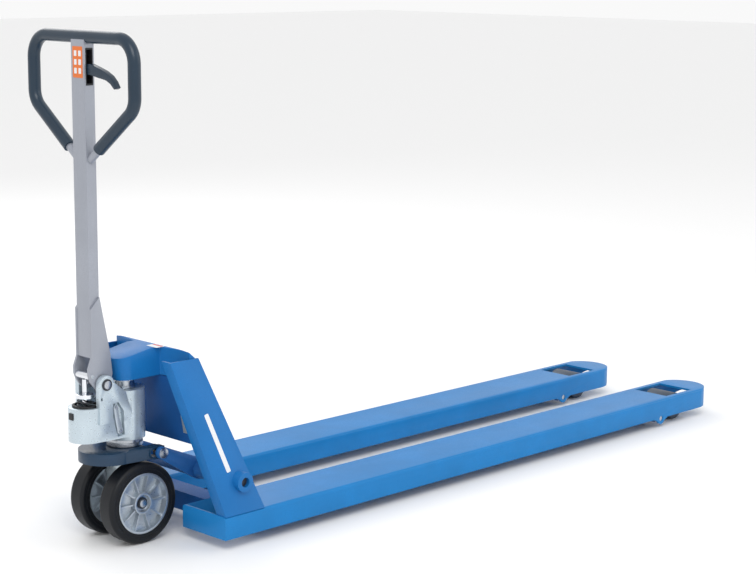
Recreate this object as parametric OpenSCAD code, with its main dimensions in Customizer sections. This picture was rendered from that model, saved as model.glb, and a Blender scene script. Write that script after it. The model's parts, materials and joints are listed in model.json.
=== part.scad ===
// Hand pallet truck with long forks: hydraulic pump head, steering wheels, tiller and load rollers.
// Millimetres. +X points along the forks, +Z up, and the floor is at Z = 0.

/* [Forks] */
// Length of each fork, from its heel plate to its tip
fork_len = 2000; // [1400:10:2400]
// Width of each fork
fork_w = 160; // [150:1:190]
// Width over both forks
over_w = 540; // [520:1:690]
// Height of the load surface when lowered
fork_top = 85; // [84:1:95]
// Depth of a fork's side walls
fork_h = 57; // [50:1:60]
// Thickness of the fork steel
fork_t = 6; // [5:0.5:8]
// Lift travel
lift = 115; // [90:1:115]
// Length of the roller cut-out in the top of a fork
cut_l = 126; // [112:1:150]

/* [Load rollers] */
// Diameter of a load roller
roller_d = 82; // [74:1:82]
// Width of a load roller
roller_w = 90; // [60:1:94]
// Distance from the fork tip back to the roller axle
roller_back = 159; // [150:1:200]
// Distance from the roller axle to the hinge of its frame
link_c = 114; // [112:1:130]

/* [Steering wheels] */
// Diameter of a steering wheel
wheel_d = 200; // [180:1:200]
// Width of a steering wheel
wheel_w = 50; // [40:1:52]
// Gap between the two steering wheels
wheel_gap = 66; // [64:1:68]
// Radius of a wheel's metal hub
hub_r = 75; // [60:1:80]
// Radius of the wheel axle
axle_r = 10; // [8:0.5:12]

/* [Pump head] */
// Radius of the pump barrel in front
barrel_r = 42; // [38:1:44]
// Distance from the steering axis to the pump plunger
plunger_x = 114; // [108:1:118]
// Radius of the lift cylinder housing
cyl_r = 50; // [46:1:52]
// Radius of the lift ram
ram_r = 17; // [14:0.5:20]
// Height of the top of the lift cylinder
cyl_top = 374; // [368:1:378]
// Height of the tiller hinge
hinge_z = 400; // [398:1:410]

/* [Tiller] */
// Height of the top of the handle loop
handle_top = 1231; // [1050:1:1350]
// Width over the handle loop
loop_w = 416; // [340:2:460]
// Radius of the hand grip
grip_r = 15; // [13:0.5:17]
// Radius of the bare loop tube
loop_r = 10; // [8:0.5:11]
// Width of the mast tube
mast_w = 50; // [46:1:50]
// Depth of the mast tube
mast_d = 28; // [26:1:30]

/* [Frame] */
// Height of the top of the side columns
column_top = 451; // [430:1:470]
// Width over the columns at the top
column_w = 300; // [290:2:340]
// Wall of the folded plates
plate = 6; // [5:0.5:8]

/* [Clearances] */
// Radial clearance of a running fit
run = 0.05; // [0.02:0.01:0.1]
// Gap between parts that pass each other
gap = 1; // [0.5:0.1:2]

/* [Hidden] */
$fn = 64;

steer_x = 8;                                  // steering axis, with the wheel axle at x = 0
heel_x = 96;                                  // front of the heel plates
tip_x = heel_x + fork_len;
front_x = steer_x - plunger_x - barrel_r;     // foremost point of the pump barrel
plug_out = 2;                                 // height of the filler plug on the barrel
mid_x = (front_x - plug_out + tip_x) / 2;     // middle of the footprint, moved to the origin
fork_y = over_w / 2 - fork_w / 2;             // middle of a fork
fork_bot = fork_top - fork_h;
wheel_r = wheel_d / 2;
wheel_y = wheel_gap / 2 + wheel_w / 2;
wheel_out = wheel_gap / 2 + wheel_w;
rim_r = min(hub_r, wheel_r - 14);             // a small wheel keeps some tread

// rocker: hinge in the columns, and its joint with the yoke
rock_x = 164;
rock_z = 158;
yoke_x = 50;
yoke_z = 219;
rock_r = norm([rock_x - yoke_x, rock_z - yoke_z]);
rock_a0 = asin((yoke_z - rock_z) / rock_r);
rock_a1 = asin((yoke_z - lift - rock_z) / rock_r);
rock_turn = rock_a0 - rock_a1;
arm_y = 84;                                   // inner face of a rocker arm
arm_t = 12;
tube_r = 22;                                  // rocker tube
rock_pin_r = 12;

// load roller frame: hinge, roller axle and push rod pin
roller_r = roller_d / 2;
roller_x = tip_x - roller_back;
link_x = roller_x - link_c;
link_z = 27;
link_r = norm([link_c, roller_r - link_z]);
link_a0 = asin((roller_r - link_z) / link_r);
link_turn = link_a0 - asin((roller_r - link_z - lift) / link_r);
lug_b = 38;
lug_a0 = link_turn / 2 - 1.3;
lug_x = link_x - lug_b * sin(lug_a0);
lug_z = link_z + lug_b * cos(lug_a0);
rod_travel = lug_b * (sin(lug_a0) + sin(link_turn - lug_a0));
link_pin_r = 8;
frame_y = 50;                                 // inner face of a roller frame plate from the fork's middle

// push rod eyes
lug_a = rod_travel / (2 * sin(rock_turn / 2));
eye_x = rock_x - lug_a * sin(rock_turn / 2);
eye_z = rock_z - lug_a * (cos(rock_turn / 2) + 1) / 2;
eye_pin_r = 8;
eye_play = 3;
rear_eye_z = link_z + lug_b * (cos(lug_a0) + 1) / 2;
rear_pin_r = 6;
rear_play = 4.4;
rod_w = 12;
top_open_x = heel_x + 129;                    // the fork's top plate starts here

// tiller
hinge_x = -78;
barrel_x = steer_x - plunger_x;
barrel_top = 345;
mast_x = -93;
cheek_t = 6;
press_x = barrel_x - 1;
press_z = hinge_z + 21;
press_r = 9;
rod_top = press_z - press_r - gap;
cap_z = 366;
cap_t = 10;
cap_r = mast_w / 2 - gap;
well_r = cap_r + 2;
well_z = 285;
ear_y = mast_w / 2 + cheek_t + 3;
ear_t = 14;
pin_r = 10;
loop_z = handle_top - grip_r;
loop_y = loop_w / 2 - grip_r;
loop_low_z = handle_top - 170;
lever_z = handle_top - 88;
lever_y = -6;
lever_t = 14;
slot_z0 = handle_top - 126;
slot_z1 = handle_top - 40;
slot_d = 20;

col_x0 = 98;                                  // front edge of a column at the bottom
col_x1 = 32;                                  // and at the top
col_b = 123;                                  // breadth of a column at the bottom
col_c = 86;                                   // and at the top
flange_w = 34;
wall_back = 40;
wall_bot = 236;
function col_share(z) = (z - fork_top) / (column_top - fork_top);
function col_front(z) = col_x0 + (col_x1 - col_x0) * col_share(z);
function col_out(z) = over_w / 2 + (column_w / 2 - over_w / 2) * col_share(z);

module cyl_y(r, y0, y1) {
  translate([0, y1, 0]) rotate([90, 0, 0]) cylinder(r = r, h = y1 - y0);
}
module ring_y(r, bore, y0, y1) {
  difference() {
    cyl_y(r, y0, y1);
    cyl_y(bore, y0 - 1, y1 + 1);
  }
}
module block(x0, x1, y0, y1, z0, z1) {
  translate([x0, y0, z0]) cube([x1 - x0, y1 - y0, z1 - z0]);
}
module profile_y(points, y0, y1) {
  translate([0, y1, 0]) rotate([90, 0, 0]) linear_extrude(y1 - y0) polygon(points);
}
function bar_line(a, b, ra, rb) =             // outline of a flat bar with round ends, between two points
  let (lean = atan2(b[1] - a[1], b[0] - a[0]), turn = acos((ra - rb) / norm(b - a)), steps = 14)
  concat([for (i = [0:steps]) let (t = lean + turn + (360 - 2 * turn) * i / steps) a + ra * [cos(t), sin(t)]],
    [for (i = [0:steps]) let (t = lean - turn + 2 * turn * i / steps) b + rb * [cos(t), sin(t)]]);
module bar_y(a, b, ra, rb, y0, y1) {
  profile_y(bar_line(a, b, ra, rb), y0, y1);
}
module bent_bar(points, radii, y0, y1) {      // flat bars through several points, as one plate
  translate([0, y1, 0]) rotate([90, 0, 0]) linear_extrude(y1 - y0)
    for (i = [0:len(points) - 2]) polygon(bar_line(points[i], points[i + 1], radii[i], radii[i + 1]));
}
module both() {
  children();
  mirror([0, 1, 0]) children();
}
module place() {
  translate([-mid_x, 0, 0]) children();
}

// Forks --------------------------------------------------------------
module fork_plan(inset) {
  w = fork_w / 2 - inset;
  translate([heel_x + inset, -w]) square([fork_len - fork_w / 2 - inset, 2 * w]);
  translate([tip_x - fork_w / 2, 0]) circle(w);
}
module fork_section(inset, edge) {
  w = fork_w / 2 - inset;
  translate([-w, fork_bot - 1]) square([2 * w, fork_h + 1 - inset - edge]);
  translate([edge - w, fork_bot]) square([2 * (w - edge), fork_h - inset]);
  for (s = [-1, 1]) translate([s * (w - edge), fork_top - inset - edge]) circle(edge);
}
module fork_body(inset, edge) {
  intersection() {
    translate([0, 0, fork_bot - 1]) linear_extrude(fork_h + 2) fork_plan(inset);
    translate([heel_x, 0, 0]) rotate([90, 0, 90]) linear_extrude(fork_len + 1) fork_section(inset, edge);
  }
}
module fork() {
  nose_x = 44;
  difference() {
    union() {
      difference() {
        fork_body(0, 8);
        fork_body(fork_t, 3);
        block(heel_x - 1, tip_x + 1, -fork_w, fork_w, -1, fork_bot);
        block(heel_x + fork_t, top_open_x, fork_t - fork_w / 2, fork_w / 2 - fork_t, fork_bot - 1, fork_top + 1);
        block(roller_x - cut_l / 2, roller_x + cut_l / 2, -frame_y - fork_t - 3, frame_y + fork_t + 3,
          fork_bot, fork_top + 1);
        translate([tip_x - nose_x, 0, fork_bot]) rotate([0, -42, 0]) block(0, 100, -fork_w, fork_w, -60, 0);
      }
      both() translate([link_x, 0, link_z]) {
        cyl_y(17, fork_w / 2 - fork_t, fork_w / 2);
        profile_y([[-45, 8], [-16, -8], [16, -8], [45, 8]], fork_w / 2 - fork_t, fork_w / 2);
      }
    }
    translate([link_x, 0, link_z]) cyl_y(link_pin_r, -fork_w, fork_w);
  }
}
module left_fork() { color([0.10, 0.40, 0.70]) place() translate([0, fork_y, 0]) fork(); }
module right_fork() { color([0.10, 0.40, 0.70]) place() translate([0, -fork_y, 0]) fork(); }

// Frame --------------------------------------------------------------
module slab(x0, x1, y0, y1, z) { block(x0, x1, y0, y1, z, z + 0.5); }
module column() {
  boss_in = col_out(rock_z) - 16;
  difference() {
    union() {
      hull() {
        slab(col_x0, col_x0 + col_b, over_w / 2 - plate, over_w / 2, fork_top);
        slab(col_x1, col_x1 + col_c, column_w / 2 - plate, column_w / 2, column_top);
      }
      hull() {
        slab(col_x0, col_x0 + plate, over_w / 2 - flange_w, over_w / 2, fork_top);
        slab(col_x1, col_x1 + plate, column_w / 2 - flange_w, column_w / 2, column_top);
      }
      translate([rock_x, 0, rock_z]) cyl_y(24, boss_in, over_w / 2 - 4);
    }
    translate([rock_x, 0, rock_z]) cyl_y(rock_pin_r, boss_in - 40, over_w / 2 + 1);
  }
}
module left_column() { color([0.10, 0.40, 0.70]) place() column(); }
module right_column() { color([0.10, 0.40, 0.70]) place() mirror([0, 1, 0]) column(); }

module back_wall() {
  wall_seat = plate + 0.4;
  z1 = column_top - 52;
  color([0.12, 0.25, 0.55]) place() {
    hull() {
      slab(col_front(wall_bot) + wall_back, col_front(wall_bot) + wall_back + plate,
        -col_out(wall_bot) + wall_seat, col_out(wall_bot) - wall_seat, wall_bot);
      slab(col_front(z1) + wall_back, col_front(z1) + wall_back + plate,
        -col_out(z1) + wall_seat, col_out(z1) - wall_seat, z1);
    }
  }
}
hood_w = cyl_r;                               // half width of the nose of the hood
hood_x = steer_x - 44;                        // front of the nose
hood_r = 32;                                  // rounding of its corners, inside the swing of the tiller foot
hood_top = column_top + 20;
hood_bot = column_top - 51;
hood_back = col_x1 + col_c;
hood_t = plate - 1;
flare_x = 80;
module hood_plan(inset) {
  r = hood_r - inset;
  wide = column_w / 2 - plate - 0.3 - inset;
  side = [for (a = [90:-9:0]) [hood_x + hood_r - r * sin(a), hood_w - hood_r + r * cos(a)]];
  flare = [[flare_x + inset, hood_w - inset], [flare_x + 16 + inset, wide], [hood_back - inset, wide]];
  half = concat(side, flare);
  n = len(half);
  polygon(concat(half, [for (i = [n - 1:-1:0]) [half[i][0], -half[i][1]]]));
}
module hood_side(inset) {
  x0 = hood_x - 1;
  polygon([[x0, hood_bot - inset], [x0, hood_top - 19 - inset], [hood_x + 30, hood_top - 11 - inset],
    [hood_x + 92, hood_top - inset], [hood_back - 26, hood_top - inset], [hood_back + 1, hood_top - 24 - inset],
    [hood_back + 1, hood_bot - 1 - inset]]);
}
module hood() {
  color([0.12, 0.42, 0.72]) place() difference() {
    intersection() {
      translate([0, 0, hood_bot]) linear_extrude(100) hood_plan(0);
      translate([0, 200, 0]) rotate([90, 0, 0]) linear_extrude(400) hood_side(0);
    }
    intersection() {
      translate([0, 0, hood_bot - 1]) linear_extrude(100) hood_plan(hood_t);
      translate([0, 200, 0]) rotate([90, 0, 0]) linear_extrude(400) hood_side(hood_t);
    }
  }
}
plate_bot = hood_bot + 4;
head_t = 12;
module head_plate() {
  color([0.12, 0.42, 0.72]) place() translate([0, 0, plate_bot]) linear_extrude(head_t) hood_plan(hood_t);
}
module cross_member() {
  inner = over_w / 2 - fork_w;
  color([0.12, 0.25, 0.55]) place() difference() {
    block(172, 232, -inner, inner, fork_bot + 4, fork_top - 5);
    block(172 + plate, 232 - plate, -inner - 1, inner + 1, fork_bot + 4 + plate, fork_top - 5 - plate);
  }
}
ram_bot = 140;
race_t = 5;
module lift_ram() {
  color([0.85, 0.86, 0.88]) place() translate([steer_x, 0, ram_bot])
    cylinder(r = ram_r, h = plate_bot - ram_bot);
}
module thrust_bearing() {
  race_r = ram_r + 11;
  place() translate([steer_x, 0, 0]) {
    for (z = [cyl_top + gap, plate_bot - race_t]) color([0.8, 0.8, 0.82]) translate([0, 0, z]) difference() {
      cylinder(r = race_r, h = race_t);
      translate([0, 0, -1]) cylinder(r = ram_r + run, h = race_t + 2);
    }
    color([0.6, 0.6, 0.62]) translate([0, 0, cyl_top + gap + race_t]) difference() {
      cylinder(r = race_r - 3, h = plate_bot - cyl_top - gap - 2 * race_t);
      translate([0, 0, -1]) cylinder(r = ram_r + run, h = 30);
    }
  }
}
module rocker_pins() {
  in = col_out(rock_z) - 56;
  color([0.3, 0.3, 0.32]) place() translate([rock_x, 0, rock_z])
    both() cyl_y(rock_pin_r, in, over_w / 2 - 14);
}
module link_pins() {
  color([0.3, 0.3, 0.32]) place() translate([link_x, 0, link_z]) for (s = [-1, 1])
    translate([0, s * fork_y, 0]) cyl_y(link_pin_r, 2 - fork_w / 2, fork_w / 2 - 2);
}
module rating_plate() {
  z0 = 262;
  z1 = 322;
  tilt = atan2(col_front(z0) - col_front(z1), z1 - z0);
  color([0.75, 0.78, 0.8]) place() translate([col_front(z0) + wall_back, -142, z0]) rotate([0, -tilt, 0])
    block(-1.2, -0.1, -36, 36, 0, 60);
}

// Yoke ---------------------------------------------------------------
neck_r = 33;
yoke_bot = wheel_d + 4;
yoke_top = 232;
slot_play = 2.6;
pivot_r = 8;
module yoke_outline() {
  difference() {
    union() {
      translate([-45, 0]) circle(70);
      polygon([[-40, 70], [yoke_x + 16, arm_y - 3], [yoke_x + 16, 58], [30, 50], [30, -50],
        [yoke_x + 16, -58], [yoke_x + 16, 3 - arm_y], [-40, -70]]);
    }
    translate([steer_x, 0]) circle(neck_r + 5);
  }
}
module steering_yoke() {
  slot_x0 = rock_x - rock_r;
  slot_x1 = max(yoke_x, rock_x - rock_r * cos(rock_a1));
  color([0.10, 0.25, 0.38]) place() difference() {
    union() {
      translate([0, 0, yoke_bot]) linear_extrude(yoke_top - yoke_bot) yoke_outline();
      both() bar_y([slot_x0 + 2, yoke_z], [slot_x1 + 1, yoke_z], 16, 16, 58, arm_y - 2);
    }
    both() bar_y([slot_x0 - 0.5, yoke_z], [slot_x1 + 0.5, yoke_z], pivot_r + slot_play, pivot_r + slot_play,
      50, arm_y + 1);
    for (y = [-40, 40]) translate([-45, y, yoke_bot - 1]) cylinder(r = 5, h = 20);
  }
}
module yoke_bearing() {
  color([0.6, 0.5, 0.3]) place() translate([steer_x, 0, yoke_bot]) difference() {
    cylinder(r = neck_r + 5, h = yoke_top - yoke_bot);
    translate([0, 0, -1]) cylinder(r = neck_r + run, h = 40);
  }
}
module yoke_screws() {
  color([0.25, 0.25, 0.25]) place() for (y = [-40, 40])
    translate([-45, y, yoke_bot]) cylinder(r = 5, h = 14);
}

// Pump head ----------------------------------------------------------
body_bot = 262;
cyl_bot = 252;
ram_bore_bot = 130;
module pump_outline(r1, r2) {
  d = plunger_x;
  s = (r2 - r1) / d;
  c = sqrt(1 - s * s);
  translate([barrel_x, 0]) circle(r1);
  translate([steer_x, 0]) circle(r2);
  polygon([[barrel_x - r1 * s, r1 * c], [steer_x - r2 * s, r2 * c],
    [steer_x - r2 * s, -r2 * c], [barrel_x - r1 * s, -r1 * c]]);
}
module pump_casting() {
  color([0.66, 0.76, 0.82]) place() difference() {
    union() {
      translate([0, 0, body_bot]) linear_extrude(barrel_top - body_bot) pump_outline(barrel_r, cyl_r - 2);
      translate([steer_x, 0, cyl_bot]) cylinder(r = cyl_r, h = cyl_top - cyl_bot);
      translate([steer_x, 0, 60]) cylinder(r = wheel_gap / 2 - 3, h = cyl_bot - 60);
      translate([steer_x, 0, yoke_bot]) cylinder(r = neck_r, h = cyl_bot - yoke_bot);
      block(-26, steer_x + 24, -wheel_gap / 2 + 3, wheel_gap / 2 - 3, 60, yoke_bot - 12);
      both() {
        translate([hinge_x, 0, hinge_z]) cyl_y(22, ear_y, ear_y + ear_t);
        profile_y([[hinge_x - 22, barrel_top - 40], [hinge_x - 22, hinge_z], [hinge_x + 22, hinge_z + 2],
          [steer_x - 30, cyl_top], [steer_x - 10, barrel_top - 40]], ear_y, ear_y + ear_t);
      }
    }
    translate([steer_x, 0, ram_bore_bot]) cylinder(r = ram_r + run, h = 400);
    translate([barrel_x, 0, well_z]) cylinder(r = well_r, h = 100);
    translate([barrel_x, 0, well_z - 16]) cylinder(r = 7 + run, h = 100);
    translate([hinge_x, 0, hinge_z]) cyl_y(pin_r, -90, 90);
    translate([0, 0, wheel_r]) cyl_y(axle_r, -90, 90);
    block(hinge_x - 40, hinge_x + 50, -ear_y, ear_y, barrel_top, 500);
    window();
    block(front_x - 1, front_x + 2, -8, 8, 318, 334);
    translate([-96, -60, hinge_z - 37]) block(0, 5, 0, 120, 0, 7);
  }
}
module window() {                             // recess that holds the lowering valve lever
  profile_y([[-60, 352], [-44, 352], [-30, 330], [-26, 270], [-46, 268], [-62, 322]], -70, -36);
}
module base_flange() {
  color([0.82, 0.83, 0.85]) place() translate([steer_x, 0, 0]) difference() {
    union() {
      translate([0, 0, yoke_top + gap]) cylinder(r = 44, h = 9);
      translate([0, 0, yoke_top + gap + 9]) cylinder(r = 40, h = cyl_bot - yoke_top - gap - 9);
    }
    cylinder(r = neck_r, h = 400);
  }
}
module wheel_axle() {
  color([0.7, 0.72, 0.75]) place() translate([0, 0, wheel_r]) cyl_y(axle_r, -wheel_out + 3, wheel_out - 3);
}
module axle_circlips() {
  color([0.2, 0.2, 0.2]) place() translate([0, 0, wheel_r])
    both() ring_y(axle_r + 4, axle_r, wheel_out - 8, wheel_out - 6);
}
module tiller_pin() {
  color([0.75, 0.77, 0.8]) place() translate([hinge_x, 0, hinge_z]) cyl_y(pin_r, -ear_y - ear_t - 5, ear_y + ear_t + 5);
}
module tiller_circlips() {
  color([0.2, 0.2, 0.2]) place() translate([hinge_x, 0, hinge_z])
    both() ring_y(pin_r + 4, pin_r, ear_y + ear_t, ear_y + ear_t + 2);
}
module plunger_seal() {
  color([0.08, 0.08, 0.08]) place() translate([barrel_x, 0, barrel_top]) difference() {
    cylinder(r = well_r + 6, h = 5);
    translate([0, 0, -1]) cylinder(r = well_r, h = 8);
  }
}
module valve_lever() {
  color([0.7, 0.74, 0.78]) place() {
    bent_bar([[-50, 340], [-46, 312], [-38, 280]], [6, 6, 8], -44, -38);
    translate([-46, 0, 312]) cyl_y(4, -38, -36);
  }
}
module valve_screws() {
  color([0.35, 0.36, 0.38]) place() for (p = [[-38, 280], [-50, 340]])
    translate([p[0], 0, p[1]]) cyl_y(4, -48, -44);
}
module filler_plug() {
  color([0.08, 0.08, 0.08]) place()
    block(front_x - plug_out, front_x + 2, -8, 8, 318, 334);
}

// Steering wheels ----------------------------------------------------
module wheel_hub(y) {
  bearing_r = 21;
  color([0.6, 0.68, 0.74]) place() translate([0, y, wheel_r]) difference() {
    union() {
      ring_y(rim_r, rim_r - 6, -wheel_w / 2 + 1, wheel_w / 2 - 1);
      ring_y(rim_r - 3, bearing_r, -5, 5);
      ring_y(bearing_r + 6, bearing_r, -wheel_w / 2 + 2, wheel_w / 2 - 2);
      for (i = [0:9]) rotate([0, i * 36, 0]) {
        block(bearing_r + 3, rim_r - 3, -wheel_w / 2 + 8, wheel_w / 2 - 8, -2, 2);
      }
    }
    cyl_y(bearing_r, -wheel_w, wheel_w);
  }
}
module wheel_tyre(y) {
  edge = 9;
  color([0.07, 0.09, 0.11]) place() translate([0, y, wheel_r]) rotate([90, 0, 0]) rotate_extrude($fn = 96) {
    translate([rim_r, -wheel_w / 2]) square([wheel_r - edge - rim_r, wheel_w]);
    translate([rim_r, edge - wheel_w / 2]) square([wheel_r - rim_r, wheel_w - 2 * edge]);
    for (s = [-1, 1]) translate([wheel_r - edge, s * (wheel_w / 2 - edge)]) circle(edge);
  }
}
module wheel_bearings(y) {
  color([0.75, 0.77, 0.8]) place() translate([0, y, wheel_r]) both()
    ring_y(21, axle_r + run, wheel_w / 2 - 20, wheel_w / 2 - 10);
}
module left_wheel_hub() { wheel_hub(wheel_y); }
module left_wheel_tyre() { wheel_tyre(wheel_y); }
module left_wheel_bearings() { wheel_bearings(wheel_y); }
module right_wheel_hub() { wheel_hub(-wheel_y); }
module right_wheel_tyre() { wheel_tyre(-wheel_y); }
module right_wheel_bearings() { wheel_bearings(-wheel_y); }

// Plunger ------------------------------------------------------------
module plunger_rod() {
  color([0.85, 0.85, 0.87]) place() translate([barrel_x, 0, well_z + 46]) cylinder(r = 7, h = rod_top - well_z - 46);
}
module spring_cap() {
  color([0.85, 0.86, 0.88]) place() translate([barrel_x, 0, cap_z]) difference() {
    cylinder(r = cap_r, h = cap_t);
    translate([0, 0, -1]) cylinder(r = 7, h = cap_t + 2);
  }
}
module pump_spring() {
  turns = 6;
  wire = 2;
  r = cap_r - 5;
  pitch = (cap_z - well_z - 2 * wire - 1) / turns;
  rings = turns * 12;
  function at(i, a) = let (t = i * 30, q = r + wire * cos(a))
    [q * cos(t), q * sin(t), wire + 0.5 + pitch * i / 12 + wire * sin(a)];
  pts = [for (i = [0:rings], k = [0:5]) at(i, k * 60)];
  sides = [for (i = [0:rings - 1], k = [0:5]) let (a = i * 6 + k, b = i * 6 + (k + 1) % 6)
    [a, a + 6, b + 6, b]];
  color([0.3, 0.3, 0.32]) place() translate([barrel_x, 0, well_z])
    polyhedron(pts, concat(sides, [[0, 1, 2, 3, 4, 5]], [[for (k = [5:-1:0]) rings * 6 + k]]));
}

// Tiller -------------------------------------------------------------
mast_bot = hinge_z + 65;
mast_top = loop_z - 6;
mast_wall = 3;
module mast_tube() {
  color([0.63, 0.66, 0.72]) place() difference() {
    block(mast_x - mast_d / 2, mast_x + mast_d / 2, -mast_w / 2, mast_w / 2, mast_bot, mast_top);
    block(mast_x - mast_d / 2 + mast_wall, mast_x + mast_d / 2 - mast_wall, -mast_w / 2 + mast_wall,
      mast_w / 2 - mast_wall, mast_bot - 1, mast_top - 16);
    block(mast_x - slot_d / 2, mast_x + slot_d / 2, -mast_w, 0, slot_z0, slot_z1);
    translate([mast_x, 0, loop_z]) cyl_y(grip_r, -mast_w, mast_w);
    translate([mast_x - 30, lever_y, lever_z]) rotate([0, 90, 0]) cylinder(r = 4, h = 60);
  }
}
module foot_side() {
  polygon([[-108, hinge_z + 180], [-81.5, hinge_z + 209], [-53.5, hinge_z + 71], [-48, hinge_z + 20],
    [-56, hinge_z - 4], [-66, hinge_z - 18], [-84, hinge_z - 20], [-97, hinge_z - 13], [-112, hinge_z + 8],
    [-118, hinge_z + 24], [-118, hinge_z + 40], [-108, hinge_z + 66]]);
}
module tiller_foot() {
  y0 = mast_w / 2;
  color([0.62, 0.65, 0.7]) place() difference() {
    both() translate([0, y0 + cheek_t, 0]) rotate([90, 0, 0]) linear_extrude(cheek_t) foot_side();
    translate([hinge_x, 0, hinge_z]) cyl_y(pin_r + run, -60, 60);
    translate([press_x, 0, press_z]) cyl_y(5, -60, 60);
  }
}
low_turn = atan2(4, 3);                       // turn of the loop's lower bends
module loop_path(y_end) {                     // sweeps a section along one side of the loop, down to y_end
  bend = 55;
  low_bend = 50;
  low_z = loop_low_z + low_bend * tan(low_turn / 2);
  end_l = (loop_y - y_end) / sin(low_turn) - low_bend * tan(low_turn / 2);
  translate([mast_x, loop_y - bend, loop_z]) rotate([90, 0, 0]) linear_extrude(loop_y - bend) children();
  translate([mast_x, loop_y - bend, loop_z - bend]) rotate([90, 0, 90])
    rotate_extrude(angle = 90, $fn = 48) translate([bend, 0]) children();
  translate([mast_x, loop_y, low_z]) linear_extrude(loop_z - bend - low_z) children();
  translate([mast_x, loop_y - low_bend, low_z]) rotate([90, 0, 90]) rotate(-low_turn) {
    rotate_extrude(angle = low_turn, $fn = 48) translate([low_bend, 0]) children();
    translate([low_bend, 0, 0]) rotate([90, 0, 0]) linear_extrude(end_l) children();
  }
}
module handle_loop() {
  color([0.66, 0.70, 0.76]) place() both() difference() {
    loop_path(mast_w / 2 - 8) circle(loop_r);
    block(mast_x - 20, mast_x + 20, 0, mast_w / 2, mast_bot, mast_top - 40);
  }
}
module handle_grip() {
  color([0.09, 0.19, 0.28]) place() both() loop_path(mast_w / 2 + 32) difference() {
    circle(grip_r);
    circle(loop_r);
  }
}
module lever_housing() {
  color([0.05, 0.06, 0.07]) place() difference() {
    block(mast_x - slot_d / 2, mast_x + slot_d / 2, -mast_w / 2 - 1, lever_y + 14, slot_z0, slot_z1);
    block(mast_x - lever_t / 2 - 1, mast_x + lever_t / 2 + 1, -mast_w / 2 - 2, lever_y + 10, slot_z0 + 4, slot_z1 - 4);
    translate([mast_x - 30, lever_y, lever_z]) rotate([0, 90, 0]) cylinder(r = 4, h = 60);
  }
}
module lever_pin() {
  color([0.6, 0.6, 0.62]) place() translate([mast_x - mast_d / 2, lever_y, lever_z])
    rotate([0, 90, 0]) cylinder(r = 4, h = mast_d);
}
module control_lever() {
  z = lever_z;
  color([0.12, 0.2, 0.27]) place() difference() {
    union() {
      translate([mast_x - lever_t / 2, lever_y, z]) rotate([0, 90, 0]) cylinder(r = 9, h = lever_t);
      translate([mast_x + lever_t / 2, 0, 0]) rotate([90, 0, -90]) linear_extrude(lever_t)
        polygon([[6, z + 8], [36, z + 12], [60, z + 6], [88, z - 2], [110, z - 12], [124, z - 24], [134, z - 38],
          [126, z - 42], [112, z - 30], [94, z - 22], [82, z - 20], [70, z - 19], [58, z - 17], [42, z - 14], [22, z - 12], [6, z - 8]]);
    }
    translate([mast_x - 30, lever_y, z]) rotate([0, 90, 0]) cylinder(r = 4 + run, h = 60);
  }
}
module control_rod() {
  color([0.5, 0.5, 0.52]) place() translate([mast_x, lever_y + 6, mast_bot + 20])
    cylinder(r = 2.5, h = slot_z0 - mast_bot - 20);
}
module pressure_roller() {
  color([0.85, 0.86, 0.88]) place() translate([press_x, 0, press_z])
    ring_y(press_r, 5 + run, -mast_w / 2 + 1, mast_w / 2 - 1);
}
module pressure_roller_pin() {
  color([0.6, 0.6, 0.62]) place() translate([press_x, 0, press_z])
    cyl_y(5, -mast_w / 2 - cheek_t, mast_w / 2 + cheek_t);
}

// Lifting linkage ----------------------------------------------------
module rocker_arms() {
  color([0.15, 0.33, 0.62]) place() difference() {
    both() bar_y([yoke_x, yoke_z], [rock_x, rock_z], 15, 26, arm_y, arm_y + arm_t);
    translate([rock_x, 0, rock_z]) cyl_y(tube_r, -200, 200);
    translate([yoke_x, 0, yoke_z]) cyl_y(pivot_r, -200, 200);
  }
}
lug_y = 22;
module rocker_tube() {
  end_y = col_out(rock_z) - 17;
  color([0.15, 0.33, 0.62]) place() difference() {
    union() {
      translate([rock_x, 0, rock_z]) cyl_y(tube_r, -end_y, end_y);
      for (s = [-1, 1], k = [-1, 1]) translate([0, s * fork_y + k * 13, 0])
        bar_y([rock_x, rock_z], [eye_x, lug_pin_z], tube_r - 2, 14, -4, 4);
    }
    translate([rock_x, 0, rock_z]) both() cyl_y(rock_pin_r + run, end_y - 42, end_y + 1);
    translate([eye_x, 0, lug_pin_z]) both() cyl_y(eye_pin_r, fork_y - 40, fork_y + 40);
  }
}
lug_pin_z = rock_z - lug_a * cos(rock_turn / 2);
module rocker_pivot_bolts() {
  color([0.85, 0.86, 0.88]) place() translate([yoke_x, 0, yoke_z]) both() {
    cyl_y(pivot_r, arm_y - 20, arm_y + arm_t);
    cyl_y(13, arm_y + arm_t, arm_y + arm_t + 3);
    cyl_y(7, arm_y + arm_t + 3, arm_y + arm_t + 6);
  }
}
module rod_pins() {
  color([0.6, 0.6, 0.62]) place() translate([eye_x, 0, lug_pin_z]) for (s = [-1, 1])
    translate([0, s * fork_y, 0]) cyl_y(eye_pin_r, -20, 20);
}
module push_rod(y) {
  bend_x = top_open_x - rod_travel - 6;
  color([0.2, 0.22, 0.25]) place() translate([0, y, 0]) difference() {
    bent_bar([[eye_x, eye_z], [bend_x, rear_eye_z], [lug_x, rear_eye_z]], [17, 12, 14], -rod_w / 2, rod_w / 2);
    translate([eye_x, 0, eye_z]) cyl_y(eye_pin_r + eye_play, -20, 20);
    translate([lug_x, 0, rear_eye_z]) cyl_y(rear_pin_r + rear_play, -20, 20);
  }
}
module left_push_rod() { push_rod(fork_y); }
module right_push_rod() { push_rod(-fork_y); }

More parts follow.
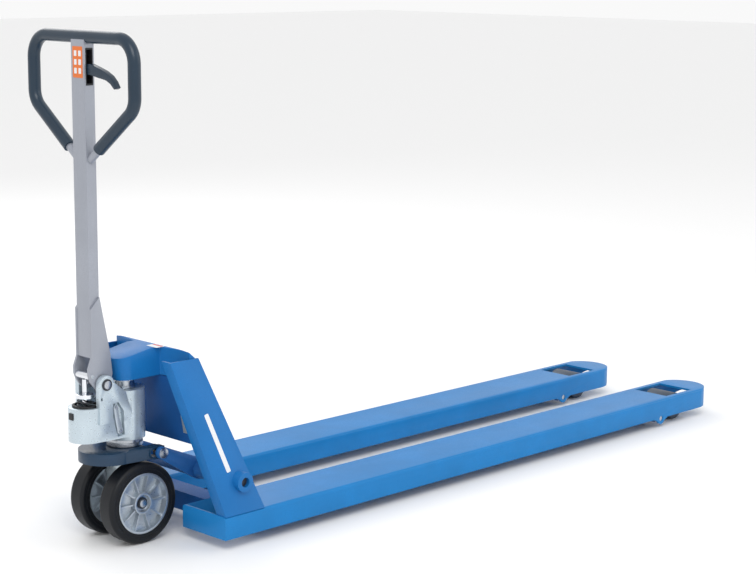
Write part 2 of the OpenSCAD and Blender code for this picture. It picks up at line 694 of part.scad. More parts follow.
module roller_frame(y) {
  axle = 9;
  color([0.15, 0.33, 0.62]) place() translate([0, y, 0]) difference() {
    union() {
      both() bent_bar([[lug_x, lug_z], [link_x, link_z], [roller_x, roller_r]], [9, 15, 13], frame_y, frame_y + plate);
      translate([link_x, 0, link_z]) cyl_y(13, -frame_y, frame_y);
      translate([lug_x, 0, lug_z]) cyl_y(rear_pin_r, -frame_y, frame_y);
    }
    translate([link_x, 0, link_z]) cyl_y(link_pin_r + run, -90, 90);
    translate([roller_x, 0, roller_r]) cyl_y(axle, -90, 90);
  }
}
module load_roller(y) {
  color([0.3, 0.34, 0.38]) place() translate([roller_x, y, roller_r])
    ring_y(roller_r, 22, -roller_w / 2, roller_w / 2);
}
module roller_bearings(y) {
  color([0.8, 0.82, 0.84]) place() translate([roller_x, y, roller_r]) both()
    ring_y(22, 9 + run, roller_w / 2 - 14, roller_w / 2 + 2);
}
module roller_axle(y) {
  color([0.7, 0.72, 0.75]) place() translate([roller_x, y, roller_r])
    cyl_y(9, -frame_y - plate, frame_y + plate);
}
module left_roller_frame() { roller_frame(fork_y); }
module left_load_roller() { load_roller(fork_y); }
module left_roller_bearings() { roller_bearings(fork_y); }
module left_roller_axle() { roller_axle(fork_y); }
module right_roller_frame() { roller_frame(-fork_y); }
module right_load_roller() { load_roller(-fork_y); }
module right_roller_bearings() { roller_bearings(-fork_y); }
module right_roller_axle() { roller_axle(-fork_y); }

left_fork();
right_fork();
left_column();
right_column();
back_wall();
hood();
head_plate();
cross_member();
lift_ram();
thrust_bearing();
rocker_pins();
link_pins();
rating_plate();
steering_yoke();
yoke_bearing();
yoke_screws();
pump_casting();
base_flange();
wheel_axle();
axle_circlips();
tiller_pin();
tiller_circlips();
plunger_seal();
valve_lever();
valve_screws();
filler_plug();
left_wheel_hub();
left_wheel_tyre();
left_wheel_bearings();
right_wheel_hub();
right_wheel_tyre();
right_wheel_bearings();
plunger_rod();
spring_cap();
pump_spring();
mast_tube();
tiller_foot();
handle_loop();
handle_grip();
lever_housing();
lever_pin();
pressure_roller();
pressure_roller_pin();
control_lever();
control_rod();
rocker_arms();
rocker_tube();
rocker_pivot_bolts();
rod_pins();
left_push_rod();
right_push_rod();
left_roller_frame();
left_load_roller();
left_roller_bearings();
left_roller_axle();
right_roller_frame();
right_load_roller();
right_roller_bearings();
right_roller_axle();
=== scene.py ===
import json
import math

import bmesh
import bpy
from mathutils import Matrix, Vector


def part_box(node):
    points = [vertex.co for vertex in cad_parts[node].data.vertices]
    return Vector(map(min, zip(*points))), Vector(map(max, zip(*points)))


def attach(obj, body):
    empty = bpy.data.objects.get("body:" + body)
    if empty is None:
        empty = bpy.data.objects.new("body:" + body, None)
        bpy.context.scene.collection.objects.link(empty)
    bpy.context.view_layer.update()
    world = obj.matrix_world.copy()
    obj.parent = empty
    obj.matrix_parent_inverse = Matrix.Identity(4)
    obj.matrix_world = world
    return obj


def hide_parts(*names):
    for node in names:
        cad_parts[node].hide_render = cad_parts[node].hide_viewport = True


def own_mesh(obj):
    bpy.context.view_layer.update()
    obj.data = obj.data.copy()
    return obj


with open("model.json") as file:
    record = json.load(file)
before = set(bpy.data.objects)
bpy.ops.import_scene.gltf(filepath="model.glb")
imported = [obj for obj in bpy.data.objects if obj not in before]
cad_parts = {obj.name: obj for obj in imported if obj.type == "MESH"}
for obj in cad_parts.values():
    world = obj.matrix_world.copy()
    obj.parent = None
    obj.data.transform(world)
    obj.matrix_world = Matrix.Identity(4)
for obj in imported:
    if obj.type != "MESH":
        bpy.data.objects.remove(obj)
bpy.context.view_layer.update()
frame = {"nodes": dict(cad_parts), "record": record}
nodes = frame["nodes"]
print("frame loaded:", len(nodes), "nodes")

middleX = 0.973  # steering axle to the row's origin


def place(x, y, z):  # millimetres from the wheel axle, as in the CAD source
    return Vector((x / 1000 - middleX, y / 1000, z / 1000))


# materials

def link(tree, a, b):
    tree.links.new(a, b)


def noiseNode(tree, coords, scale, detail=4.0, rough=0.55, stretch=(1, 1, 1)):
    mapping = tree.nodes.new("ShaderNodeMapping")
    mapping.inputs["Scale"].default_value = stretch
    noise = tree.nodes.new("ShaderNodeTexNoise")
    noise.inputs["Scale"].default_value = scale
    noise.inputs["Detail"].default_value = detail
    noise.inputs["Roughness"].default_value = rough
    link(tree, coords, mapping.inputs["Vector"])
    link(tree, mapping.outputs["Vector"], noise.inputs["Vector"])
    return noise.outputs["Fac"]


def spread(tree, value, low, high, fromLow=0.3, fromHigh=0.7):
    node = tree.nodes.new("ShaderNodeMapRange")
    node.inputs["From Min"].default_value = fromLow
    node.inputs["From Max"].default_value = fromHigh
    node.inputs["To Min"].default_value = low
    node.inputs["To Max"].default_value = high
    link(tree, value, node.inputs["Value"])
    return node.outputs["Result"]


def mixColor(tree, amount, a, b):
    node = tree.nodes.new("ShaderNodeMix")
    node.data_type = "RGBA"
    link(tree, amount, node.inputs[0])
    for socket, value in ((node.inputs[6], a), (node.inputs[7], b)):
        if isinstance(value, tuple):
            socket.default_value = (*value, 1)
        else:
            link(tree, value, socket)
    return node.outputs[2]


def shade(color, factor):
    return tuple(min(1, c * factor) for c in color)


plainLook = {  # what a finish uses where it says nothing else
    "vary": 0.08, "patch": 9, "grain": 300, "stretch": (1, 1, 1), "even": 0.6, "wear": 0.3, "wearScale": 34,
    "metal": 0, "coat": 0, "coatRough": 0.18, "specular": 0.5, "bump": 0.08, "depth": 0.0006}


def newMaterial(name, given):
    look = {**plainLook, **given}
    mat = bpy.data.materials.new(name)
    mat.use_nodes = True
    tree = mat.node_tree
    shader = tree.nodes["Principled BSDF"]
    coords = tree.nodes.new("ShaderNodeTexCoord").outputs["Object"]
    color, rough, vary = look["color"], look["rough"], look["vary"]
    broad = spread(tree, noiseNode(tree, coords, look["patch"], 5), 0, 1, 0.35, 0.68)
    tone = mixColor(tree, broad, shade(color, 1 - vary), shade(color, 1 + vary))
    fine = noiseNode(tree, coords, look["grain"], 6, 0.6, look["stretch"])
    grainTone = mixColor(tree, spread(tree, fine, 0, 1), tone, shade(color, 0.8 + 0.2 * look["even"]))
    patches = noiseNode(tree, coords, look["wearScale"], 9, 0.72)
    wearMask = spread(tree, patches, 0, look["wear"], 0.62, 0.70)
    worn = mixColor(tree, wearMask, grainTone, look.get("under", shade(color, 1.25)))
    link(tree, worn, shader.inputs["Base Color"])
    link(tree, spread(tree, fine, rough * 0.85, min(1, rough * 1.2)), shader.inputs["Roughness"])
    shader.inputs["Metallic"].default_value = look["metal"]
    shader.inputs["Coat Weight"].default_value = look["coat"]
    shader.inputs["Coat Roughness"].default_value = look["coatRough"]
    shader.inputs["Specular IOR Level"].default_value = look["specular"]
    bump = tree.nodes.new("ShaderNodeBump")
    bump.inputs["Strength"].default_value = look["bump"]
    bump.inputs["Distance"].default_value = look["depth"]
    link(tree, fine, bump.inputs["Height"])
    link(tree, bump.outputs["Normal"], shader.inputs["Normal"])
    return mat


finishes = {
    "bluePaint": {"color": (0.007, 0.145, 0.42), "rough": 0.42, "coat": 0.08, "specular": 0.22,
        "grain": 420, "bump": 0.05, "vary": 0.10, "wear": 0.16, "under": (0.03, 0.20, 0.47)},
    "forkPaint": {"color": (0.007, 0.190, 0.50), "rough": 0.40, "coat": 0.08, "specular": 0.22,
        "grain": 420, "bump": 0.05, "vary": 0.12, "wear": 0.22, "under": (0.03, 0.22, 0.52)},
    "shadePaint": {"color": (0.010, 0.085, 0.29), "rough": 0.5, "specular": 0.15, "grain": 420,
        "bump": 0.05, "vary": 0.12, "wear": 0.15},
    "linkPaint": {"color": (0.014, 0.11, 0.34), "rough": 0.45, "grain": 320, "bump": 0.08, "vary": 0.14,
        "wear": 0.35, "under": (0.06, 0.07, 0.09)},
    "navyCasting": {"color": (0.008, 0.036, 0.080), "rough": 0.38, "coat": 0.2, "specular": 0.35,
        "grain": 240, "bump": 0.22, "depth": 0.0009, "vary": 0.18, "wear": 0.25, "under": (0.05, 0.12, 0.2)},
    "silverCasting": {"color": (0.55, 0.64, 0.70), "rough": 0.30, "metal": 0.6, "coat": 0.2,
        "grain": 200, "bump": 0.3, "depth": 0.0009, "vary": 0.10, "wear": 0.25, "under": (0.30, 0.38, 0.44)},
    "greyPaint": {"color": (0.33, 0.35, 0.40), "rough": 0.38, "metal": 0.3, "coat": 0.12, "grain": 420,
        "bump": 0.05, "vary": 0.07, "wear": 0.2, "under": (0.28, 0.30, 0.36)},
    "hubCasting": {"color": (0.52, 0.57, 0.62), "rough": 0.30, "metal": 0.85, "grain": 260,
        "bump": 0.22, "vary": 0.14, "wear": 0.3, "under": (0.25, 0.30, 0.36)},
    "tyreRubber": {"color": (0.0045, 0.006, 0.009), "rough": 0.42, "grain": 520, "bump": 0.16,
        "vary": 0.25, "wear": 0.35, "under": (0.012, 0.014, 0.018), "specular": 0.28},
    "rollerTread": {"color": (0.035, 0.055, 0.085), "rough": 0.4, "grain": 380, "bump": 0.12,
        "vary": 0.2, "wear": 0.4, "under": (0.09, 0.11, 0.14)},
    "sealRubber": {"color": (0.008, 0.008, 0.010), "rough": 0.5, "grain": 600, "bump": 0.1, "vary": 0.2,
        "wear": 0.2},
    "chromed": {"color": (0.78, 0.80, 0.84), "rough": 0.12, "metal": 1, "grain": 500,
        "stretch": (1, 1, 12), "bump": 0.03, "vary": 0.03, "wear": 0.1, "even": 0.9},
    "turnedSteel": {"color": (0.50, 0.53, 0.57), "rough": 0.27, "metal": 1, "grain": 420,
        "stretch": (8, 1, 8), "bump": 0.1, "vary": 0.08, "wear": 0.25, "under": (0.33, 0.33, 0.33)},
    "darkSteel": {"color": (0.06, 0.065, 0.075), "rough": 0.42, "metal": 0.7, "grain": 300,
        "bump": 0.15, "vary": 0.2, "wear": 0.35, "under": (0.16, 0.12, 0.09)},
    "bronze": {"color": (0.38, 0.25, 0.10), "rough": 0.35, "metal": 0.9, "grain": 300, "bump": 0.1,
        "vary": 0.12},
    "blackPlastic": {"color": (0.010, 0.011, 0.014), "rough": 0.5, "grain": 700, "bump": 0.14,
        "vary": 0.2, "wear": 0.15},
    "navyPlastic": {"color": (0.009, 0.026, 0.048), "rough": 0.34, "coat": 0.2, "specular": 0.35,
        "grain": 800, "bump": 0.12, "vary": 0.12, "wear": 0.18, "under": (0.05, 0.10, 0.15)},
    "satinPlate": {"color": (0.50, 0.56, 0.62), "rough": 0.32, "metal": 0.6, "grain": 300,
        "stretch": (1, 14, 1), "bump": 0.06, "vary": 0.06, "wear": 0.15},
    "weldSteel": {"color": (0.016, 0.12, 0.36), "rough": 0.45, "grain": 500, "bump": 0.25, "vary": 0.2,
        "wear": 0.3, "under": (0.05, 0.14, 0.3)},
    "orangeFilm": {"color": (0.72, 0.16, 0.02), "rough": 0.4, "grain": 500, "bump": 0.03, "vary": 0.06,
        "wear": 0.12, "under": (0.75, 0.35, 0.15)},
    "whiteFilm": {"color": (0.74, 0.76, 0.78), "rough": 0.42, "grain": 500, "bump": 0.03, "vary": 0.05,
        "wear": 0.15, "under": (0.55, 0.57, 0.6)},
    "redFilm": {"color": (0.60, 0.03, 0.03), "rough": 0.4, "grain": 500, "bump": 0.03, "vary": 0.06,
        "wear": 0.12, "under": (0.6, 0.2, 0.18)},
}
mats = {name: newMaterial(name, look) for name, look in finishes.items()}
nodeFinish = {
    "forkPaint": ["left_fork", "right_fork"],
    "bluePaint": ["left_column", "right_column", "hood", "head_plate"],
    "shadePaint": ["back_wall", "cross_member"],
    "linkPaint": ["left_roller_frame", "right_roller_frame", "rocker_arms", "rocker_tube"],
    "navyCasting": ["steering_yoke"],
    "silverCasting": ["pump_casting"],
    "greyPaint": ["mast_tube", "tiller_foot", "handle_loop"],
    "hubCasting": ["left_wheel_hub", "right_wheel_hub"],
    "tyreRubber": ["left_wheel_tyre", "right_wheel_tyre"],
    "rollerTread": ["left_load_roller", "right_load_roller"],
    "sealRubber": ["plunger_seal"],
    "chromed": ["lift_ram", "plunger_rod", "spring_cap", "pressure_roller"],
    "darkSteel": ["left_push_rod", "right_push_rod", "axle_circlips", "tiller_circlips", "yoke_screws",
        "pump_spring", "rocker_pins"],
    "bronze": ["yoke_bearing"],
    "blackPlastic": ["lever_housing", "filler_plug"],
    "navyPlastic": ["handle_grip", "control_lever"],
    "satinPlate": ["rating_plate", "valve_lever"],
}
chosen = {node: finish for finish, members in nodeFinish.items() for node in members}
for node, obj in nodes.items():
    obj.data.materials.clear()
    obj.data.materials.append(mats[chosen.get(node, "turnedSteel")])
print("materials on", len(nodes), "nodes")


def bodyOf(node):
    for body, members in frame["record"]["behaviour"]["bodies"].items():
        if node in members:
            return body


def smoothByAngle(mesh, angle):
    for face in mesh.polygons:
        face.use_smooth = True
    mesh.set_sharp_from_angle(angle=math.radians(angle))


def addPiece(name, mesh, body, finish, replaced=()):
    obj = bpy.data.objects.new(name, mesh)
    bpy.context.scene.collection.objects.link(obj)
    if not mesh.materials:
        mesh.materials.append(mats[finish])
    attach(obj, body)
    if replaced:
        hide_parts(*replaced)
    return obj


# pressed and cast pieces with soft edges, each in place of its sharp CAD node
softEdges = {
    "left_fork": 1.6, "right_fork": 1.6, "left_column": 1.8, "right_column": 1.8,
    "back_wall": 1.0, "hood": 2.4,
    "head_plate": 0.8, "cross_member": 1.0, "rocker_arms": 1.2, "rocker_tube": 0.8,
    "steering_yoke": 1.8, "pump_casting": 1.6, "base_flange": 0.8, "mast_tube": 2.2, "tiller_foot": 1.1,
    "left_roller_frame": 0.8, "right_roller_frame": 0.8, "left_push_rod": 1.2, "right_push_rod": 1.2,
    "left_wheel_hub": 0.9, "right_wheel_hub": 0.9, "left_load_roller": 2.5, "right_load_roller": 2.5,
    "control_lever": 3.0, "spring_cap": 1.2, "plunger_seal": 1.0, "valve_lever": 0.8, "lever_housing": 0.6,
    "rocker_pivot_bolts": 0.6, "wheel_axle": 1.0, "tiller_pin": 1.2, "filler_plug": 0.5,
    "left_wheel_bearings": 0.5, "right_wheel_bearings": 0.5,
    "left_roller_bearings": 0.6, "right_roller_bearings": 0.6,
}


def openEdges(mesh):
    bm = bmesh.new()
    bm.from_mesh(mesh)
    count = sum(1 for e in bm.edges if not e.is_manifold)
    bm.free()
    return count


bevelling = {"weld": 2e-6, "flat": 0.6, "sharp": 34, "segments": 2}  # metres, degrees, degrees, count


def softCopy(node, width):
    mesh = nodes[node].data.copy()
    bm = bmesh.new()
    bm.from_mesh(mesh)
    bmesh.ops.remove_doubles(bm, verts=bm.verts, dist=bevelling["weld"])
    bmesh.ops.dissolve_limit(bm, angle_limit=math.radians(bevelling["flat"]), verts=bm.verts, edges=bm.edges)
    limit = math.radians(bevelling["sharp"])
    sharp = [e for e in bm.edges if e.is_manifold and e.calc_face_angle(0) > limit]
    bmesh.ops.bevel(bm, geom=sharp, offset=width / 1000, segments=bevelling["segments"], profile=0.5,
        affect="EDGES", clamp_overlap=True)
    bmesh.ops.triangulate(bm, faces=[f for f in bm.faces if len(f.verts) > 4])
    bmesh.ops.recalc_face_normals(bm, faces=bm.faces)
    bm.to_mesh(mesh)
    bm.free()
    if openEdges(mesh):
        print("kept sharp:", node)
        return None
    smoothByAngle(mesh, 28)
    mesh.name = node + "Soft"
    return addPiece(node + "Soft", mesh, bodyOf(node), chosen.get(node, "turnedSteel"), (node,))


made = [node for node, width in softEdges.items() if softCopy(node, width)]
print("soft edges on", len(made), "pieces")


# geometry node trees

def newTree(name, inputs):
    tree = bpy.data.node_groups.new(name, "GeometryNodeTree")
    tree.interface.new_socket(name="Geometry", in_out="OUTPUT", socket_type="NodeSocketGeometry")
    for label, kind, value in inputs:
        socket = tree.interface.new_socket(name=label, in_out="INPUT", socket_type=kind)
        socket.default_value = value
    return tree, tree.nodes.new("NodeGroupInput"), tree.nodes.new("NodeGroupOutput")


def addNode(tree, kind, inputs=None, **settings):
    node = tree.nodes.new(kind)
    for key, value in settings.items():
        setattr(node, key, value)
    for key, value in (inputs or {}).items():
        if isinstance(value, bpy.types.NodeSocket):
            tree.links.new(value, node.inputs[key])
        else:
            node.inputs[key].default_value = value
    return node


def finishTree(tree, out, geometry, finish):
    paint = addNode(tree, "GeometryNodeSetMaterial", {"Geometry": geometry, "Material": mats[finish]})
    tree.links.new(paint.outputs[0], out.inputs[0])
    return tree


def finishCopies(tree, out, copies, finish):
    real = addNode(tree, "GeometryNodeRealizeInstances", {"Geometry": copies.outputs[0]})
    return finishTree(tree, out, real.outputs[0], finish)


def bake(name, tree, values, finish):  # runs a tree on an empty mesh and keeps the result as a plain mesh
    obj = bpy.data.objects.new(name, bpy.data.meshes.new(name))
    bpy.context.scene.collection.objects.link(obj)
    modifier = obj.modifiers.new("build", "NODES")
    modifier.node_group = tree
    for item in tree.interface.items_tree:
        if item.in_out == "INPUT" and item.name in values:
            modifier[item.identifier] = values[item.name]
    bpy.context.view_layer.update()
    mesh = bpy.data.meshes.new_from_object(obj.evaluated_get(bpy.context.evaluated_depsgraph_get()))
    mesh.name = name
    bpy.data.objects.remove(obj)
    mesh.materials.clear()
    mesh.materials.append(mats[finish])
    smoothByAngle(mesh, 40)
    return mesh


def beadTree():  # a line of overlapping weld beads between two points
    tree, given, out = newTree("weldBeads", [
        ("Start", "NodeSocketVector", (0, 0, 0)), ("End", "NodeSocketVector", (0.1, 0, 0)),
        ("Spacing", "NodeSocketFloat", 0.003), ("Size", "NodeSocketFloat", 0.003),
        ("Seed", "NodeSocketInt", 3)])
    line = addNode(tree, "GeometryNodeCurvePrimitiveLine",
        {"Start": given.outputs["Start"], "End": given.outputs["End"]})
    points = addNode(tree, "GeometryNodeCurveToPoints",
        {"Curve": line.outputs[0], "Length": given.outputs["Spacing"]}, mode="LENGTH")
    ball = addNode(tree, "GeometryNodeMeshIcoSphere", {"Radius": given.outputs["Size"], "Subdivisions": 2})
    size = addNode(tree, "FunctionNodeRandomValue", {"Seed": given.outputs["Seed"]}, data_type="FLOAT_VECTOR")
    size.inputs["Min"].default_value = (0.85, 0.85, 0.85)
    size.inputs["Max"].default_value = (1.12, 1.12, 1.12)
    copies = addNode(tree, "GeometryNodeInstanceOnPoints",
        {"Points": points.outputs["Points"], "Instance": ball.outputs["Mesh"],
        "Scale": size.outputs["Value"]})
    return finishCopies(tree, out, copies, "weldSteel")


def coilTree():  # a round wire wound along Z
    tree, given, out = newTree("springCoil", [
        ("Turns", "NodeSocketFloat", 6.0), ("Height", "NodeSocketFloat", 0.08),
        ("Radius", "NodeSocketFloat", 0.02), ("Wire", "NodeSocketFloat", 0.002)])
    coil = addNode(tree, "GeometryNodeCurveSpiral", {"Resolution": 28, "Rotations": given.outputs["Turns"],
        "Start Radius": given.outputs["Radius"], "End Radius": given.outputs["Radius"],
        "Height": given.outputs["Height"]})
    ring = addNode(tree, "GeometryNodeCurvePrimitiveCircle",
        {"Resolution": 12, "Radius": given.outputs["Wire"]})
    tube = addNode(tree, "GeometryNodeCurveToMesh",
        {"Curve": coil.outputs[0], "Profile Curve": ring.outputs[0], "Fill Caps": True})
    return finishTree(tree, out, tube.outputs[0], "darkSteel")


def ringTree():  # balls in a ring round Z
    tree, given, out = newTree("ballRing", [
        ("Count", "NodeSocketInt", 18), ("Radius", "NodeSocketFloat", 0.02),
        ("Ball", "NodeSocketFloat", 0.003)])
    ring = addNode(tree, "GeometryNodeMeshCircle",
        {"Vertices": given.outputs["Count"], "Radius": given.outputs["Radius"]})
    ball = addNode(tree, "GeometryNodeMeshUVSphere",
        {"Segments": 20, "Rings": 12, "Radius": given.outputs["Ball"]})
    copies = addNode(tree, "GeometryNodeInstanceOnPoints",
        {"Points": ring.outputs[0], "Instance": ball.outputs["Mesh"]})
    return finishCopies(tree, out, copies, "chromed")


# pump spring
spring = {"turns": 7.0, "radius": 0.0185, "wire": 0.0021, "keep": 0.39}
low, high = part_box("pump_spring")
coilHeight = high.z - low.z - 2 * spring["wire"]
springMesh = bake("pumpSpring", coilTree(), {"Turns": spring["turns"], "Height": coilHeight,
    "Radius": spring["radius"], "Wire": spring["wire"]}, "darkSteel")
springMesh.transform(Matrix.Translation(((low.x + high.x) / 2, 0, low.z + spring["wire"])))
springPiece = addPiece("pumpSpring", springMesh, "pump_unit", "darkSteel", ("pump_spring",))
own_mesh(springPiece)

# balls in the thrust bearing
ballRing = {"count": 20, "radius": 0.0225, "ball": 0.0033, "lift": 0.004}
low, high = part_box("thrust_bearing")
ringMesh = bake("bearingBalls", ringTree(), {"Count": ballRing["count"], "Radius": ballRing["radius"],
    "Ball": ballRing["ball"]}, "chromed")
ringMesh.transform(Matrix.Translation(((low.x + high.x) / 2, 0, (low.z + high.z) / 2 + ballRing["lift"])))
addPiece("bearingBalls", ringMesh, "chassis", "chromed")
print("spring and bearing built")

# weld beads where the columns meet the forks
weld = {"spacing": 2.6, "size": 2.6,
    "lines": (((108, 262, 85), (219, 262, 85)), ((105, 240, 85), (105, 264, 85)))}
beads = beadTree()
for side in (1, -1):
    for i, (a, b) in enumerate(weld["lines"]):
        start = place(a[0], a[1] * side, a[2])
        end = place(b[0], b[1] * side, b[2])
        name = "weld%s%d" % ("Left" if side > 0 else "Right", i)
        mesh = bake(name, beads, {"Start": start, "End": end, "Spacing": weld["spacing"] / 1000,
            "Size": weld["size"] / 1000, "Seed": 3 + i}, "weldSteel")
        addPiece(name, mesh, "chassis", "weldSteel")
print("welds built")


# moulded beads on the faces of the tyres
def hoopTree():  # a round wire in a hoop round Z
    tree, given, out = newTree("hoop", [
        ("Radius", "NodeSocketFloat", 0.08), ("Wire", "NodeSocketFloat", 0.001)])
    hoop = addNode(tree, "GeometryNodeCurvePrimitiveCircle",
        {"Resolution": 96, "Radius": given.outputs["Radius"]})
    ring = addNode(tree, "GeometryNodeCurvePrimitiveCircle",
        {"Resolution": 10, "Radius": given.outputs["Wire"]})
    tube = addNode(tree, "GeometryNodeCurveToMesh",
        {"Curve": hoop.outputs[0], "Profile Curve": ring.outputs[0]})
    return finishTree(tree, out, tube.outputs[0], "tyreRubber")


beadRing = {"radii": (0.0772, 0.0845), "wire": 0.0009, "face": 25.0, "wheel": 58, "axle": 100}
hoops = hoopTree()
upright = Matrix.Rotation(math.radians(90), 4, "X")
for body, middleY in (("left_wheel", beadRing["wheel"]), ("right_wheel", -beadRing["wheel"])):
    for face in (1, -1):
        for i, radius in enumerate(beadRing["radii"]):
            faceName = "Out" if face * middleY > 0 else "In"
            name = "%sBead%s%d" % (body.replace("_wheel", "Wheel"), faceName, i)
            mesh = bake(name, hoops, {"Radius": radius, "Wire": beadRing["wire"]}, "tyreRubber")
            at = place(0, middleY + face * beadRing["face"], beadRing["axle"])
            mesh.transform(Matrix.Translation(at) @ upright)
            addPiece(name, mesh, body, "tyreRubber")
print("tyre beads built")


# finger ridges under the control lever
def ridgeTree():  # round bars along X, spaced along a line
    tree, given, out = newTree("fingerRidges", [
        ("Start", "NodeSocketVector", (0, 0, 0)), ("End", "NodeSocketVector", (0, 0.04, 0)),
        ("Count", "NodeSocketInt", 6), ("Radius", "NodeSocketFloat", 0.0014),
        ("Length", "NodeSocketFloat", 0.010)])
    line = addNode(tree, "GeometryNodeMeshLine", {"Count": given.outputs["Count"],
        "Start Location": given.outputs["Start"], "Offset": given.outputs["End"]}, mode="END_POINTS")
    bar = addNode(tree, "GeometryNodeMeshCylinder",
        {"Vertices": 16, "Radius": given.outputs["Radius"], "Depth": given.outputs["Length"]})
    copies = addNode(tree, "GeometryNodeInstanceOnPoints",
        {"Points": line.outputs[0], "Instance": bar.outputs["Mesh"]})
    copies.inputs["Rotation"].default_value = (0, math.radians(90), 0)
    return finishCopies(tree, out, copies, "navyPlastic")


ridges = {"start": (-93, -44, 1129.2), "end": (-93, -92, 1121.2), "count": 8,
    "radius": 0.0015, "length": 0.0095}
ridgeMesh = bake("fingerRidges", ridgeTree(), {"Start": place(*ridges["start"]), "End": place(*ridges["end"]),
    "Count": ridges["count"], "Radius": ridges["radius"], "Length": ridges["length"]}, "navyPlastic")
addPiece("fingerRidges", ridgeMesh, "lever", "navyPlastic")
print("lever ridges built")


# thin films: a rectangle on a plane, with rounded corners
def filmMesh(name, center, across, along, width, height, corner=2.0, thick=0.25, steps=5):
    across, along = Vector(across).normalized(), Vector(along).normalized()
    normal = across.cross(along).normalized()
    outline = []
    for sx, sy, begin in ((1, 1, 0), (-1, 1, 90), (-1, -1, 180), (1, -1, 270)):
        for i in range(steps + 1):
            a = math.radians(begin + 90 * i / steps)
            x = sx * (width / 2 - corner) + corner * math.cos(a)
            y = sy * (height / 2 - corner) + corner * math.sin(a)
            outline.append((x, y))
    bm = bmesh.new()
    rows = []
    for level in (0, thick):
        middle = place(*center) + normal * level / 1000
        rows.append([bm.verts.new(middle + (across * x + along * y) / 1000) for x, y in outline])
    bm.faces.new(rows[1])
    bm.faces.new(list(reversed(rows[0])))
    n = len(outline)
    for i in range(n):
        bm.faces.new((rows[0][i], rows[0][(i + 1) % n], rows[1][(i + 1) % n], rows[1][i]))
    mesh = bpy.data.meshes.new(name)
    bm.to_mesh(mesh)
    bm.free()
    return mesh


# control label on the face of the mast, in plain blocks
label = {"width": 38, "height": 72, "face": -107.05, "middle": 1158}
block = {"width": 9.5, "tall": 1.35, "corner": 1.2, "aside": 8.4, "step": 20, "proud": 0.25}
across, along = (0, -1, 0), (0, 0, 1)
labelAt = (label["face"], 0, label["middle"])
labelMesh = filmMesh("controlLabel", labelAt, across, along, label["width"], label["height"])
addPiece("controlLabel", labelMesh, "tiller", "orangeFilm")
for row in range(3):
    for column in (-1, 1):
        height = label["middle"] + (1 - row) * block["step"]
        at = (label["face"] - block["proud"], column * block["aside"], height)
        name = "labelBlock%d%s" % (row, "A" if column < 0 else "B")
        tall = block["width"] * block["tall"]
        mesh = filmMesh(name, at, across, along, block["width"], tall, block["corner"])
        addPiece(name, mesh, "tiller", "whiteFilm")

# plain pale stripes on the outer faces of the columns
stripe = {"length": 150, "width": 13, "corner": 3, "share": 0.46, "proud": 0.02,
    "foot": (159, 270, 85), "head": (75, 150, 451)}
for side in (1, -1):
    foot, head = (Vector((x, y * side, z)) for x, y, z in (stripe["foot"], stripe["head"]))
    up = (head - foot).normalized()
    wide = Vector((1, 0, 0))
    wide = (wide - up * wide.dot(up)).normalized() * side
    wide = -wide if wide.cross(up).y * side < 0 else wide
    normal = wide.cross(up).normalized()
    middle = foot.lerp(head, stripe["share"]) + normal * stripe["proud"]
    name = "stripe" + ("Left" if side > 0 else "Right")
    mesh = filmMesh(name, middle, wide, up, stripe["width"], stripe["length"], stripe["corner"])
    addPiece(name, mesh, "chassis", "whiteFilm")

# red and white sticker on the hood
sticker = {"size": (40, 26), "at": (75, -40, 471.05), "bar": (34, 7), "barAt": (82, -40, 471.3)}
across, along = (0, 1, 0), (-1, 0, 0)
stickerMesh = filmMesh("hoodSticker", sticker["at"], across, along, *sticker["size"])
addPiece("hoodSticker", stickerMesh, "chassis", "whiteFilm")
barMesh = filmMesh("hoodStickerBar", sticker["barAt"], across, along, *sticker["bar"], corner=1)
addPiece("hoodStickerBar", barMesh, "chassis", "redFilm")
print("labels built")

for obj in nodes.values():
    smoothByAngle(obj.data, 30)

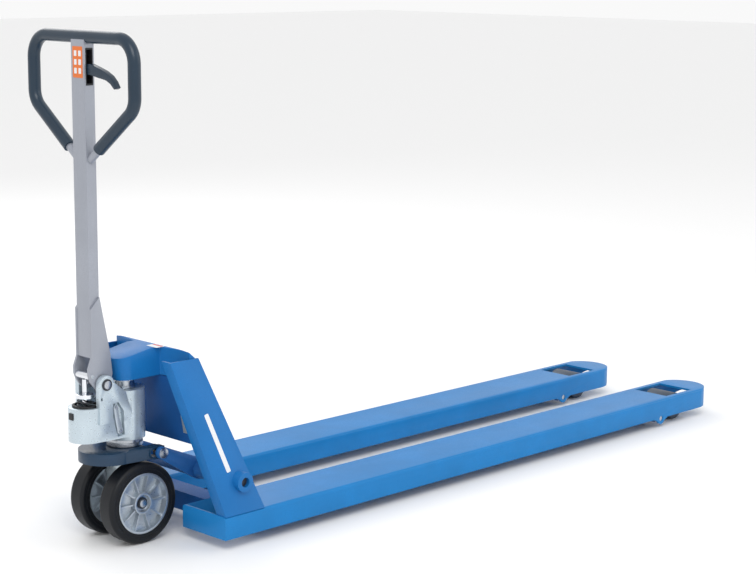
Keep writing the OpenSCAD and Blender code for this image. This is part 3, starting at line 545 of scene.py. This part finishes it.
# studio
studio = {"floor": (0.92, 0.92, 0.92, 1), "floorRough": 0.75, "halfWidth": 30,
    "sky": (1.0, 1.0, 1.0, 1), "skyPower": 0.95}
floorMat = bpy.data.materials.new("studioFloor")
floorMat.use_nodes = True
floorShader = floorMat.node_tree.nodes["Principled BSDF"]
floorShader.inputs["Base Color"].default_value = studio["floor"]
floorShader.inputs["Roughness"].default_value = studio["floorRough"]
floorMesh = bpy.data.meshes.new("floor")
half = studio["halfWidth"]
corners = [(-half, -half, 0), (half, -half, 0), (half, half, 0), (-half, half, 0)]
floorMesh.from_pydata(corners, [], [(0, 1, 2, 3)])
floorMesh.materials.append(floorMat)
floor = bpy.data.objects.new("floor", floorMesh)
bpy.context.scene.collection.objects.link(floor)

world = bpy.data.worlds.new("studio")
bpy.context.scene.world = world
world.use_nodes = True
world.node_tree.nodes["Background"].inputs["Color"].default_value = studio["sky"]
world.node_tree.nodes["Background"].inputs["Strength"].default_value = studio["skyPower"]

lamps = {  # place, size, watts
    "key": ((-3.2, -3.0, 4.2), 2.6, 90),
    "fill": ((2.8, -4.2, 3.0), 3.4, 35),
    "back": ((1.0, 4.5, 3.6), 3.0, 55),
}
lampAim = Vector((0, 0, 0.35))
for name, (at, size, watts) in lamps.items():
    data = bpy.data.lights.new(name, "AREA")
    data.size = size
    data.energy = watts
    lamp = bpy.data.objects.new(name, data)
    lamp.location = at
    lamp.rotation_euler = (lampAim - Vector(at)).to_track_quat("-Z", "Y").to_euler()
    bpy.context.scene.collection.objects.link(lamp)

view = {"at": (-3.644, -3.5334, 1.4085), "azimuth": -45.11, "elevation": 10.15, "roll": 0.35, "lens": 88.8}
az, el, roll = (math.radians(view[k]) for k in ("azimuth", "elevation", "roll"))
back = Vector((math.sin(az) * math.cos(el), -math.cos(az) * math.cos(el), math.sin(el)))
right = Vector((math.cos(az), math.sin(az), 0))
upward = back.cross(right)
turnedRight = right * math.cos(roll) + upward * math.sin(roll)
turnedUp = upward * math.cos(roll) - right * math.sin(roll)
cameraData = bpy.data.cameras.new("camera")
cameraData.lens = view["lens"]
cameraData.sensor_width = 36
camera = bpy.data.objects.new("camera", cameraData)
turn = Matrix((turnedRight, turnedUp, back)).transposed().to_4x4()
camera.matrix_world = Matrix.Translation(view["at"]) @ turn
bpy.context.scene.collection.objects.link(camera)
bpy.context.scene.camera = camera
bpy.context.scene.view_settings.view_transform = "Standard"
print("studio set")
